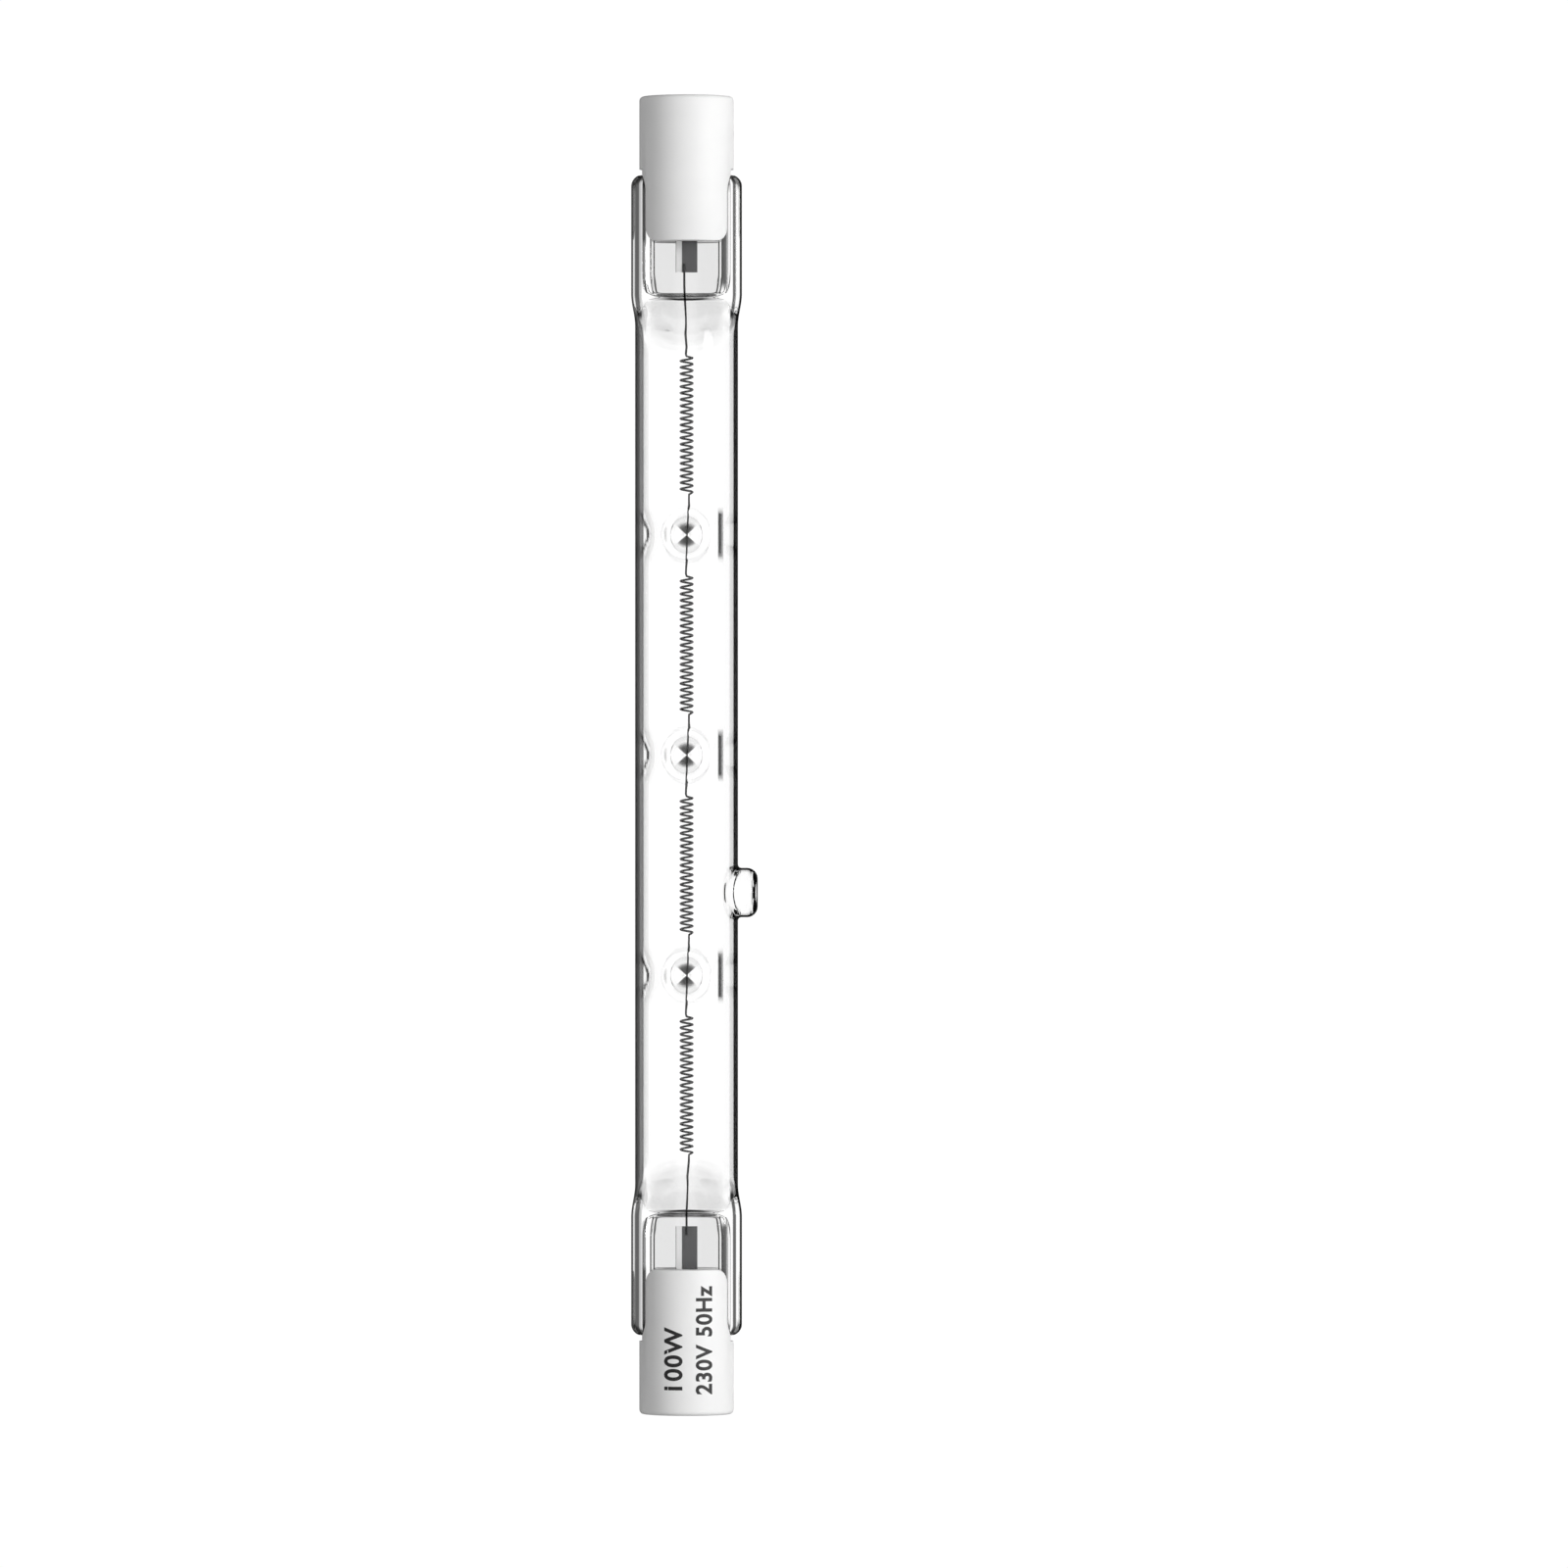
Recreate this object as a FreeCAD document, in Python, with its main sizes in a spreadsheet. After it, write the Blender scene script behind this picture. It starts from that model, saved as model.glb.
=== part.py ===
import FreeCAD, Part
import math
import os
import Sketcher
from FreeCAD import Placement, Rotation, Vector

# A double-ended linear halogen lamp, in millimetres. Its axis is Y and the origin is on it, half way
# between the ends of the caps. The pieces are made with the flat pinch seals in the XY plane, end a at
# +Y, end b at -Y and the stub of the exhaust tube towards +X. The finished lamp is then turned end for
# end about Z, and rolled about its axis until the stub, now towards -X, touches the floor, as it comes
# to rest there.
document = FreeCAD.newDocument("linear_halogen_bulb")

DRIVING_SIZES = {
    # the whole lamp, over the caps
    "overall_length": 117.6,
    # the drawn quartz tube
    "tube_diameter": 9.18,
    "tube_wall": 0.7,
    # the pressed seals: a thin web between two thick rails
    "pinch_inset": 7.01,
    "pinch_length": 10.89,
    "press_slope_length": 2.9,
    "pinch_width": 9.88,
    "pinch_thickness": 2.6,
    "pinch_flare_length": 2.6,
    "pinch_corner_radius": 1.0,
    "rail_edge_radius": 1.0,
    "web_thickness": 1.4,
    "web_width": 5.6,
    "web_mouth_width": 7.5,
    "web_end_draft": 0.4,
    # the bore, which the press closes to a chisel edge
    "bore_tip_gap": 0.3,
    "bore_taper_length": 3.8,
    "bore_tip_width": 3.6,
    "bore_tip_height": 0.16,
    # the dimples that hold the straight stretches of the filament
    "dimple_mouth_diameter": 4.0,
    "dimple_tip_diameter": 0.5,
    "dimple_tip_gap": 0.9,
    "dimple_wall": 0.45,
    # the tipped-off stub of the exhaust tube, placed as a share of the way between two dimples
    "stub_share": 0.624,
    "stub_diameter": 4.41,
    "stub_wall": 0.4,
    "stub_reach": 6.35,
    "stub_tip_wall": 0.6,
    "stub_tip_bevel": 0.7,
    # the filament, whose coils fill the length that the gaps leave
    "wire_diameter": 0.19,
    "coil_diameter": 1.27,
    "coil_turns": 21,
    "coil_count": 4,
    "coil_gap": 7.65,
    "coil_end_gap": 5.425,
    "wire_weld_length": 0.8,
    "wire_clearance": 0.03,
    # the foils and the outer leads
    "foil_width": 1.93,
    "foil_thickness": 0.06,
    "foil_length": 7.2,
    "foil_a_inset": 2.2,
    "foil_b_inset": 1.15,
    "lead_diameter": 0.6,
    "lead_weld_length": 1.5,
    "lead_weld_flat": 0.04,
    # the ceramic caps
    "cap_diameter": 8.43,
    "cap_length": 12.95,
    "cap_round_length": 6.8,
    "cap_taper_length": 2.0,
    "cap_taper_radius": 4.0,
    "cap_edge_bevel": 0.35,
    "tongue_width": 7.26,
    "tongue_corner_radius": 0.75,
    # the cement between each cap and its pinch
    "cement_gap": 0.15,
    "cement_end_gap": 0.5,
    "cement_inset": 0.8,
    # the recessed contacts
    "recess_diameter": 4.4,
    "recess_depth": 1.7,
    "button_diameter": 3.6,
    "contact_thickness": 0.8,
    "contact_clearance": 0.1,
    "shank_diameter": 1.6,
    "shank_length": 1.4,
    "lead_clearance": 0.05,
}

# straight spans in each turn of a coil, and sides of the wire's section
SPANS_PER_TURN = 6
WIRE_SIDES = 4
# how far a cutting shape runs past the surface that it cuts
OVERRUN = 1.0
# how near two computed lengths are when they are the same
SAME = 1e-6

ALONG_LAMP = Rotation(Vector(1, 0, 0), -90)
DOWNWARD = Rotation(Vector(1, 0, 0), 180)
SIDE_VIEW = Rotation(Vector(0, 1, 0), Vector(0, 0, 1), Vector(1, 0, 0), "ZXY")
PLAN_VIEW = Rotation(Vector(0, 1, 0), Vector(-1, 0, 0), Vector(0, 0, 1), "ZXY")
END_TO_END = Vector(0, 1, 0)
TOP_TO_BOTTOM = Vector(0, 0, 1)

# lengths that several pieces share, worked out from the sheet
TUBE_RADIUS = "(size.tube_diameter / 2)"
BORE_RADIUS = "(size.tube_diameter / 2 - size.tube_wall)"
CAP_END = "size.overall_length / 2"
PINCH_END = f"({CAP_END} - size.pinch_inset)"
WEB_START = f"({CAP_END} - size.pinch_inset - size.pinch_length)"
BORE_TIP = f"({WEB_START} - size.bore_tip_gap)"
COILED = f"(2 * ({WEB_START} - size.coil_end_gap) - (size.coil_count - 1) * size.coil_gap)"
DIMPLE_SPACING = f"({COILED} / size.coil_count + size.coil_gap)"
STUB_POSITION = f"-size.stub_share * {DIMPLE_SPACING}"
TONGUE_END = f"({CAP_END} - size.cap_length)"
BUTTON_BACK = f"({CAP_END} - size.recess_depth - size.contact_thickness)"
SLOT_END = f"({PINCH_END} + size.cement_end_gap)"
WIRE_CORNER_RADIUS = "(size.wire_diameter / 2 * sqrt(pi / 2))"
FOIL_TOP = "(size.lead_weld_flat - size.lead_diameter / 2)"
LEG_HEIGHT = f"({FOIL_TOP} + {WIRE_CORNER_RADIUS})"

# the roll that brings the corner of the stub down to the level of the tube's underside
STUB_CORNER = "(size.stub_reach - size.stub_tip_bevel)"
STUB_RADIUS = "(size.stub_diameter / 2)"
REST_ROLL = (
    f"asin({TUBE_RADIUS} / sqrt({STUB_CORNER} ^ 2 + {STUB_RADIUS} ^ 2))"
    f" - atan({STUB_RADIUS} / {STUB_CORNER})"
)


def fill_sheet():
    """Puts the driving sizes in a sheet named size, one cell each."""
    sheet = document.addObject("Spreadsheet::Sheet", "size")
    for row, (alias, value) in enumerate(DRIVING_SIZES.items(), start=1):
        sheet.set(f"A{row}", str(value))
        sheet.setAlias(f"A{row}", alias)
    document.recompute()
    return sheet


def bind(thing, **expressions):
    """Ties properties of an object to the sheet. Two underscores stand for a dot in a path."""
    for name, text in expressions.items():
        thing.setExpression(name.replace("__", "."), text)


def primitive(kind, name, rotation=Rotation(), **expressions):
    """Adds a Part primitive at the origin, turned and bound to the sheet."""
    thing = document.addObject(kind, name)
    thing.Placement = Placement(Vector(), rotation)
    bind(thing, **expressions)
    return thing


def fused(name, *shapes):
    """Joins solids into one."""
    thing = document.addObject("Part::MultiFuse", name)
    thing.Shapes = list(shapes)
    return thing


def common(name, *shapes):
    """Keeps what several solids have in common."""
    thing = document.addObject("Part::MultiCommon", name)
    thing.Shapes = list(shapes)
    return thing


def cut(name, base, tool):
    """Takes one solid away from another."""
    thing = document.addObject("Part::Cut", name)
    thing.Base = base
    thing.Tool = tool
    return thing


def mirrored(name, source, normal):
    """Adds the mirror image of an object across a plane through the origin."""
    thing = document.addObject("Part::Mirroring", name)
    thing.Source = source
    thing.Normal = normal
    return thing


def draw_polygon(sketch, corners):
    """Draws a closed outline whose corners are fixed by an X and a Y expression each."""
    first = sketch.GeometryCount
    count = len(corners)
    turn = 2 * math.pi / count
    spots = [Vector(math.cos(turn * i), math.sin(turn * i), 0) for i in range(count)]
    for i in range(count):
        sketch.addGeometry(Part.LineSegment(spots[i], spots[(i + 1) % count]), False)
    for i in range(count):
        following = first + (i + 1) % count
        sketch.addConstraint(Sketcher.Constraint("Coincident", first + i, 2, following, 1))
    for i, corner in enumerate(corners):
        for kind, text, start in zip(("DistanceX", "DistanceY"), corner, spots[i]):
            constraint = Sketcher.Constraint(kind, -1, 1, first + i, 1, start)
            index = sketch.addConstraint(constraint)
            sketch.setExpression(f"Constraints[{index}]", text)


def draw_circle(sketch, radius):
    """Draws a circle about the sketch's own origin."""
    circle = sketch.addGeometry(Part.Circle(Vector(), Vector(0, 0, 1), 1), False)
    sketch.addConstraint(Sketcher.Constraint("Coincident", circle, 3, -1, 1))
    index = sketch.addConstraint(Sketcher.Constraint("Radius", circle, 1))
    sketch.setExpression(f"Constraints[{index}]", radius)


def extruded(name, rotation, corners, half_height):
    """Extrudes a free sketch of one polygon to both sides of its own plane."""
    sketch = document.addObject("Sketcher::SketchObject", name + "_outline")
    sketch.Placement = Placement(Vector(), rotation)
    draw_polygon(sketch, corners)
    solid = document.addObject("Part::Extrusion", name)
    solid.Base = sketch
    solid.DirMode = "Normal"
    solid.Solid = True
    bind(solid, LengthFwd=half_height, LengthRev=half_height)
    return solid


def body_sketch(body, name, plane, offset="0"):
    """Adds a sketch to a body, on one of its origin planes moved along that plane's normal."""
    sketch = body.newObject("Sketcher::SketchObject", name)
    support = [f for f in body.Origin.OriginFeatures if f.Role == plane][0]
    sketch.AttachmentSupport = (support, [""])
    sketch.MapMode = "FlatFace"
    bind(sketch, AttachmentOffset__Base__z=offset)
    return sketch


def body_feature(body, kind, name, profile, **expressions):
    """Adds a pad or a pocket of a sketch to a body."""
    feature = body.newObject(kind, name)
    feature.Profile = profile
    bind(feature, **expressions)
    body.Tip = feature
    return feature


def bore_in(body, name, profile, depth):
    """Cuts a sketch into a body along the lamp, towards its middle."""
    pocket = body_feature(body, "PartDesign::Pocket", name, profile, Length=depth)
    pocket.Reversed = True


def dress_edges(body, kind, name, wanted, **expressions):
    """Adds a fillet or a chamfer on the edges of the body's last feature that pass the given test."""
    document.recompute()
    base = body.Tip
    names = [f"Edge{i}" for i, edge in enumerate(base.Shape.Edges, start=1) if wanted(edge)]
    feature = body.newObject(kind, name)
    feature.Base = (base, names)
    bind(feature, **expressions)
    body.Tip = feature


def fillet(body, name, radius, wanted):
    """Rounds the edges that pass the given test."""
    dress_edges(body, "PartDesign::Fillet", name, wanted, Radius=radius)


def chamfer(body, name, size, wanted):
    """Bevels the edges that pass the given test."""
    dress_edges(body, "PartDesign::Chamfer", name, wanted, Size=size)


def same(first, second):
    """Tells whether two lengths are equal, apart from rounding."""
    return abs(first - second) < SAME


def is_upright(edge):
    """Tells whether an edge is a straight one along Z."""
    return isinstance(edge.Curve, Part.Line) and same(abs(edge.Curve.Direction.z), 1)


def is_lengthwise(edge):
    """Tells whether an edge is a straight one along Y."""
    return isinstance(edge.Curve, Part.Line) and same(abs(edge.Curve.Direction.y), 1)


def is_circle(edge, radius):
    """Tells whether an edge is part of a circle of the given radius."""
    return isinstance(edge.Curve, Part.Circle) and same(edge.Curve.Radius, radius)


def with_mirror_image(corners):
    """Completes an outline that is the same above and below the sketch's X axis."""
    return corners + [(x, f"-({y})") for x, y in reversed(corners)]


# Quartz envelope: the outside of the tube, pressed flat towards each end
def make_pressed_tube():
    tube = primitive(
        "Part::Cylinder",
        "tube",
        ALONG_LAMP,
        Radius=TUBE_RADIUS,
        Height=f"2 * {WEB_START}",
        Placement__Base__y=f"-{WEB_START}",
    )
    flat_end = f"({WEB_START} + {OVERRUN})"
    flat = "size.pinch_thickness / 2"
    crest_end = f"({WEB_START} - size.press_slope_length - {OVERRUN})"
    rise = f"({TUBE_RADIUS} - {flat}) / size.press_slope_length"
    crest = f"({TUBE_RADIUS} + {rise} * {OVERRUN})"
    corners = [
        (f"-{flat_end}", flat),
        (f"-{WEB_START}", flat),
        (f"-{crest_end}", crest),
        (crest_end, crest),
        (WEB_START, flat),
        (flat_end, flat),
    ]
    press = extruded("press", SIDE_VIEW, with_mirror_image(corners), "size.tube_diameter")
    return common("pressed_tube", tube, press)


# Quartz envelope: the solid bar of one pinch, which flares out of the tube's sides
def make_pinch_bar(sheet):
    plate = document.addObject("PartDesign::Body", "pinch_plate")
    outline = body_sketch(plate, "pinch_outline", "XY_Plane")
    half = "size.pinch_width / 2"
    root = f"({TUBE_RADIUS} - size.rail_edge_radius / 2)"
    start = f"({WEB_START} - size.pinch_flare_length)"
    corners = [
        (f"-{root}", start),
        (root, start),
        (half, WEB_START),
        (half, PINCH_END),
        (f"-{half}", PINCH_END),
        (f"-{half}", WEB_START),
    ]
    draw_polygon(outline, corners)
    thickness = "size.pinch_thickness"
    pad = body_feature(plate, "PartDesign::Pad", "plate_pad", outline, Length=thickness)
    pad.Midplane = True

    pinch_end = sheet.overall_length / 2 - sheet.pinch_inset

    def at_outer_end(edge):
        return is_upright(edge) and same(edge.CenterOfMass.y, pinch_end)

    fillet(plate, "pinch_corners", "size.pinch_corner_radius", at_outer_end)

    rails = document.addObject("PartDesign::Body", "rails")
    section = body_sketch(rails, "rail_section", "XZ_Plane", f"-{PINCH_END}")
    top = "size.pinch_thickness / 2"
    draw_polygon(section, with_mirror_image([(f"-{half}", top), (half, top)]))
    body_feature(rails, "PartDesign::Pad", "rail_pad", section, Length=f"{PINCH_END} - {start}")

    fillet(rails, "rail_rounding", "size.rail_edge_radius", is_lengthwise)
    return common("pinch_bar", plate, rails)


# Quartz envelope: the drafted hollow above a web, from its floor to above the rails
def make_web_hollow():
    outer_end = f"{PINCH_END} + {OVERRUN}"
    levels = {
        "web_floor": ("size.web_width", "size.web_end_draft", "size.web_thickness / 2"),
        "web_mouth": (
            "(2 * size.web_mouth_width - size.web_width)",
            "-size.web_end_draft",
            "size.pinch_thickness - size.web_thickness / 2",
        ),
    }
    sketches = []
    for name, (width, draft, height) in levels.items():
        sketch = document.addObject("Sketcher::SketchObject", name)
        bind(sketch, Placement__Base__z=height)
        half = f"{width} / 2"
        end = f"{WEB_START} + ({draft})"
        corners = [(f"-{half}", end), (half, end), (half, outer_end), (f"-{half}", outer_end)]
        draw_polygon(sketch, corners)
        sketches.append(sketch)
    hollow = document.addObject("Part::Loft", "web_hollow_top")
    hollow.Sections = sketches
    hollow.Solid = True
    hollow.Ruled = True
    return hollow


# Quartz envelope: one pinch, a thin web between two rounded rails
def make_pinch(sheet):
    top = make_web_hollow()
    bottom = mirrored("web_hollow_bottom", top, TOP_TO_BOTTOM)
    return cut("pinch_a", make_pinch_bar(sheet), fused("web_hollows", top, bottom))


# Quartz envelope: the bore, which narrows to a chisel edge at each seal
def make_bore():
    shapes = [
        primitive(
            "Part::Cylinder",
            "bore_cylinder",
            ALONG_LAMP,
            Radius=BORE_RADIUS,
            Height=f"2 * {WEB_START}",
            Placement__Base__y=f"-{WEB_START}",
        )
    ]
    wide_end = f"({BORE_TIP} - size.bore_taper_length - {OVERRUN})"
    tips = {
        "bore_side_view": (SIDE_VIEW, "size.bore_tip_height / 2"),
        "bore_plan_view": (PLAN_VIEW, "size.bore_tip_width / 2"),
    }
    for name, (view, tip) in tips.items():
        wide = f"({BORE_RADIUS} + ({BORE_RADIUS} - {tip}) * {OVERRUN} / size.bore_taper_length)"
        corners = [(f"-{BORE_TIP}", tip), (f"-{wide_end}", wide), (wide_end, wide), (BORE_TIP, tip)]
        shapes.append(extruded(name, view, with_mirror_image(corners), "size.tube_diameter"))
    return common("bore", *shapes)


# Quartz envelope: the closed stub of the exhaust tube
def make_stub(sheet):
    body = document.addObject("PartDesign::Body", "stub")
    circle = body_sketch(body, "stub_circle", "YZ_Plane")
    draw_circle(circle, "size.stub_diameter / 2")
    body_feature(body, "PartDesign::Pad", "stub_pad", circle, Length="size.stub_reach")

    def at_tip(edge):
        return same(edge.CenterOfMass.x, sheet.stub_reach)

    chamfer(body, "stub_tip", "size.stub_tip_bevel", at_tip)
    bind(body, Placement__Base__y=STUB_POSITION)
    return body


# Quartz envelope: the hollow of the stub, open to the bore
def make_stub_hollow(sheet):
    body = document.addObject("PartDesign::Body", "stub_hollow")
    circle = body_sketch(body, "stub_hollow_circle", "YZ_Plane")
    draw_circle(circle, "size.stub_diameter / 2 - size.stub_wall")
    reach = "size.stub_reach - size.stub_tip_wall"
    body_feature(body, "PartDesign::Pad", "stub_hollow_pad", circle, Length=reach)

    def at_tip(edge):
        return same(edge.CenterOfMass.x, sheet.stub_reach - sheet.stub_tip_wall)

    chamfer(body, "stub_hollow_tip", "size.stub_tip_bevel - size.stub_wall / 2", at_tip)
    bind(body, Placement__Base__y=STUB_POSITION)
    return body


# Quartz envelope: the dimples, pressed in from above and below until their tips meet at the wire
def make_dimples(count):
    dents, walls, wire_holes = [], [], []
    widening = (
        "((size.dimple_mouth_diameter - size.dimple_tip_diameter)"
        " / (size.tube_diameter - size.dimple_tip_gap))"
    )
    tip_height = "size.dimple_tip_gap / 2"
    wall_offset = f"size.dimple_wall * sqrt(1 + {widening} ^ 2)"
    for i in range(count):
        place = f"{i - (count - 1) / 2} * {DIMPLE_SPACING}"
        for side, rotation, sign in (("top", Rotation(), ""), ("bottom", DOWNWARD, "-")):
            dent = primitive(
                "Part::Cone",
                f"dent_{side}_{i + 1}",
                rotation,
                Radius1="size.dimple_tip_diameter / 2",
                Radius2=f"size.dimple_mouth_diameter / 2 + {widening} * {OVERRUN}",
                Height=f"{TUBE_RADIUS} - {tip_height} + {OVERRUN}",
                Placement__Base__y=place,
                Placement__Base__z=f"{sign}{tip_height}",
            )
            neck = f"size.dimple_tip_diameter / 2 - {widening} * {tip_height}"
            wall = primitive(
                "Part::Cone",
                f"dimple_wall_{side}_{i + 1}",
                rotation,
                Radius1=f"{neck} + {wall_offset}",
                Radius2=f"size.dimple_mouth_diameter / 2 + {wall_offset}",
                Height=TUBE_RADIUS,
                Placement__Base__y=place,
            )
            dents.append(dent)
            walls.append(wall)
        hole = primitive(
            "Part::Cylinder",
            f"wire_hole_{i + 1}",
            ALONG_LAMP,
            Radius=f"{WIRE_CORNER_RADIUS} + size.wire_clearance",
            Height="size.dimple_mouth_diameter",
            Placement__Base__y=f"{place} - size.dimple_mouth_diameter / 2",
        )
        wire_holes.append(hole)
    return dents, walls, wire_holes


# Quartz envelope: the channel that the filament's leg fills in the glass of one pinch
def make_leg_channel(end, sign):
    weld_end = f"({WEB_START} + size.foil_{end}_inset + size.wire_weld_length)"
    start = f"({BORE_TIP} - size.bore_taper_length / 4)"
    return primitive(
        "Part::Cylinder",
        f"leg_channel_{end}",
        ALONG_LAMP,
        Radius=f"{WIRE_CORNER_RADIUS} + size.wire_clearance",
        Height=f"{weld_end} - {start}",
        Placement__Base__y=start if sign > 0 else f"-{weld_end}",
        Placement__Base__z=LEG_HEIGHT,
    )


# Quartz envelope: the outside, less the bore, the dents and the room for the sealed metal
def make_envelope(sheet, pinch_a, sealed_metal):
    pinch_b = mirrored("pinch_b", pinch_a, END_TO_END)
    blank = fused("blank", make_pressed_tube(), pinch_a, pinch_b, make_stub(sheet))
    dents, walls, wire_holes = make_dimples(int(sheet.coil_count) - 1)
    open_bore = fused("open_bore", make_bore(), make_stub_hollow(sheet))
    cavity = cut("cavity", open_bore, fused("dimple_walls", *walls))
    dented = cut("dented_tube", cut("hollow_blank", blank, cavity), fused("dents", *dents))
    drilled = cut("drilled_tube", dented, fused("wire_holes", *wire_holes))
    room = fused("room_for_metal", *sealed_metal)
    return cut("glass", drilled, room)


# Filament: one wire, as four coils joined by straight stretches that pass through the dimples
def make_filament(sheet):
    radius = (sheet.coil_diameter - sheet.wire_diameter) / 2
    count = int(sheet.coil_count)
    web_start = sheet.overall_length / 2 - sheet.pinch_inset - sheet.pinch_length
    coiled = 2 * (web_start - sheet.coil_end_gap) - (count - 1) * sheet.coil_gap
    coil_length = coiled / count
    pitch = coil_length / sheet.coil_turns
    steps = round(sheet.coil_turns * SPANS_PER_TURN)
    foil_top = sheet.lead_weld_flat - sheet.lead_diameter / 2
    leg_height = foil_top + sheet.wire_diameter / 2 * math.sqrt(math.pi / 2)
    leg_inner_end = web_start - sheet.bore_tip_gap - sheet.bore_taper_length / 4
    weld_end_a = web_start + sheet.foil_a_inset + sheet.wire_weld_length
    weld_end_b = web_start + sheet.foil_b_inset + sheet.wire_weld_length
    points = [Vector(0, weld_end_a, leg_height), Vector(0, leg_inner_end, leg_height)]
    for i in range(count):
        middle = ((count - 1) / 2 - i) * (coil_length + sheet.coil_gap)
        top = middle + coil_length / 2
        points.append(Vector(0, top + pitch, 0))
        for k in range(steps + 1):
            angle = -2 * math.pi * k / SPANS_PER_TURN
            y = top - pitch * k / SPANS_PER_TURN
            points.append(Vector(radius * math.cos(angle), y, radius * math.sin(angle)))
        points.append(Vector(0, middle - coil_length / 2 - pitch, 0))
    points.append(Vector(0, -leg_inner_end, leg_height))
    points.append(Vector(0, -weld_end_b, leg_height))
    path = document.addObject("Part::Feature", "wire_path")
    path.Shape = Part.makePolygon(points)
    section = primitive(
        "Part::RegularPolygon",
        "wire_section",
        ALONG_LAMP,
        Circumradius=WIRE_CORNER_RADIUS,
        Placement__Base__y=f"{WEB_START} + size.foil_a_inset + size.wire_weld_length",
        Placement__Base__z=LEG_HEIGHT,
    )
    section.Polygon = WIRE_SIDES
    wire = document.addObject("Part::Sweep", "wire")
    wire.Sections = [section]
    wire.Spine = (path, [f"Edge{i + 1}" for i in range(len(path.Shape.Edges))])
    wire.Solid = True
    wire.Frenet = False
    wire.Transition = "Right corner"
    return wire


# Foil: a thin strip of molybdenum sealed in the web, just below the wire and the lead on it
def make_foil(end, sign):
    near = f"({WEB_START} + size.foil_{end}_inset)"
    return primitive(
        "Part::Box",
        f"foil_{end}",
        Length="size.foil_width",
        Width="size.foil_length",
        Height="size.foil_thickness",
        Placement__Base__x="-size.foil_width / 2",
        Placement__Base__y=near if sign > 0 else f"-({near} + size.foil_length)",
        Placement__Base__z=f"{FOIL_TOP} - size.foil_thickness",
    )


# Outer lead: a straight pin from the foil, which is welded to a flat on it, to the contact
def make_lead(end, sign):
    inner = f"({WEB_START} + size.foil_{end}_inset + size.foil_length - size.lead_weld_length)"
    outer = f"({BUTTON_BACK} + size.contact_thickness / 2)"
    pin = primitive(
        "Part::Cylinder",
        f"pin_{end}",
        ALONG_LAMP,
        Radius="size.lead_diameter / 2",
        Height=f"{outer} - {inner}",
        Placement__Base__y=inner if sign > 0 else f"-{outer}",
    )
    block = primitive(
        "Part::Box",
        f"weld_flat_{end}",
        Length="size.foil_width",
        Width="size.lead_weld_length",
        Height="size.lead_diameter",
        Placement__Base__x="-size.foil_width / 2",
        Placement__Base__y=inner if sign > 0 else f"-({inner} + size.lead_weld_length)",
        Placement__Base__z=f"{FOIL_TOP} - size.lead_diameter",
    )
    return cut(f"lead_{end}", pin, block)


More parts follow.
